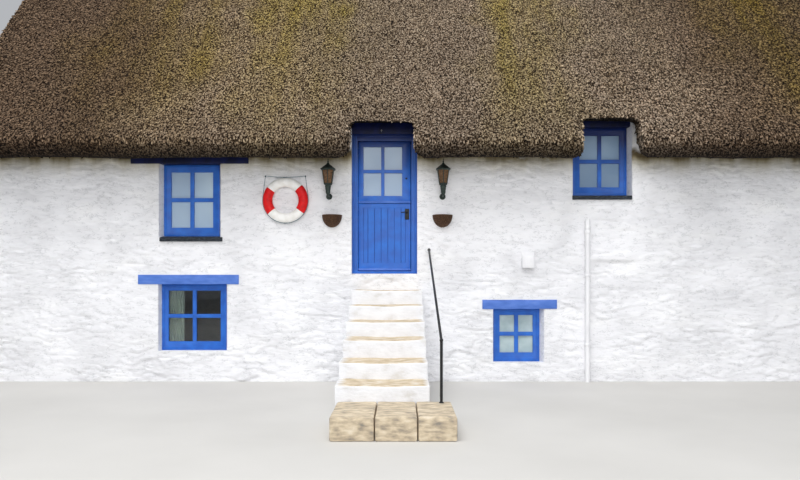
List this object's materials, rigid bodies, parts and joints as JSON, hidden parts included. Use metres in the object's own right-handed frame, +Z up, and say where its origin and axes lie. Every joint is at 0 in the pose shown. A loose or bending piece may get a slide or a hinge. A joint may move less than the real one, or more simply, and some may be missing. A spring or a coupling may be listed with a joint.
{
  "type": "thatched cottage with two low storeys",
  "caption": "Whitewashed rubble cottage under deep thatch, with blue joinery and a stable door at the head of outside steps.",
  "frame": {"origin": "on the ground at the middle of the house's plan, on the underside of the ground floor", "axes": "+X along the house to the right of its front, +Y from the front to the back, +Z up"},
  "size_m": [13.7, 10.0924, 9.03],
  "materials": {
    "limewash": "rough limewashed rubble",
    "blue_timber": "satin blue paint",
    "thatch": "weathered reed",
    "glazing": "clear",
    "slate": "riven",
    "step_stone": "worn, painted risers",
    "floor_boards": "oiled",
    "floor_flags": "worn",
    "black_iron": "satin",
    "green_iron": "painted",
    "amber_glass": "tinted",
    "wicker": "woven",
    "buoy_skin": "painted canvas",
    "rope": "laid cord",
    "white_plastic": "painted",
    "netting": "pleated"
  },
  "bodies": {
    "house": {"front_wall_left": "limewash", "front_wall_right": "limewash", "doorway_base": "limewash", "wall_over_door": "limewash", "back_wall": "limewash", "left_gable_wall": "limewash", "right_gable_wall": "limewash", "ground_floor": "floor_flags", "upper_floor": "floor_boards", "thatch_front_slope": "thatch", "thatch_back_slope": "thatch", "thatch_ridge": "thatch", "chimney_left": "limewash", "chimney_right": "limewash", "door_lintel": "blue_timber", "door_frame": "blue_timber", "upper_left_window_frame": "blue_timber", "upper_left_window_glass": "glazing", "lower_left_window_frame": "blue_timber", "lower_left_window_glass": "glazing", "upper_right_window_frame": "blue_timber", "upper_right_window_glass": "glazing", "lower_right_window_frame": "blue_timber", "lower_right_window_glass": "glazing", "back_upper_left_window_frame": "blue_timber", "back_upper_left_window_glass": "glazing", "back_upper_right_window_frame": "blue_timber", "back_upper_right_window_glass": "glazing", "back_lower_window_frame": "blue_timber", "back_lower_window_glass": "glazing", "upper_left_window_lintel": "blue_timber", "lower_left_window_lintel": "blue_timber", "lower_right_window_lintel": "blue_timber", "upper_right_window_lintel": "blue_timber", "upper_left_window_sill": "slate", "upper_right_window_sill": "slate", "entrance_steps": "step_stone", "landing_step": "step_stone", "handrail": "black_iron", "lantern_left": "green_iron", "lantern_left_glass": "amber_glass", "lantern_right": "green_iron", "lantern_right_glass": "amber_glass", "basket_left": "wicker", "basket_right": "wicker", "lifebuoy": "buoy_skin", "lifebuoy_rope": "rope", "waste_pipe": "white_plastic", "wall_vent": "white_plastic", "lower_left_curtain": "netting", "lower_right_curtain": "netting"},
    "lower_door_leaf": {"door_lower_leaf": "blue_timber", "door_handle": "black_iron"},
    "upper_door_leaf": {"door_upper_leaf": "blue_timber", "door_glass": "glazing"}
  },
  "joints": [
    {"name": "lower_leaf_hinge", "type": "hinge", "parent": "house", "child": "lower_door_leaf", "pos_m": [-1.3065, -2.5985, 2.07], "axis": [0, 0, 1], "range_deg": [0, 90]},
    {"name": "upper_leaf_hinge", "type": "hinge", "parent": "house", "child": "upper_door_leaf", "pos_m": [-1.3065, -2.5985, 3.01], "axis": [0, 0, 1], "range_deg": [0, 90]}
  ]
}
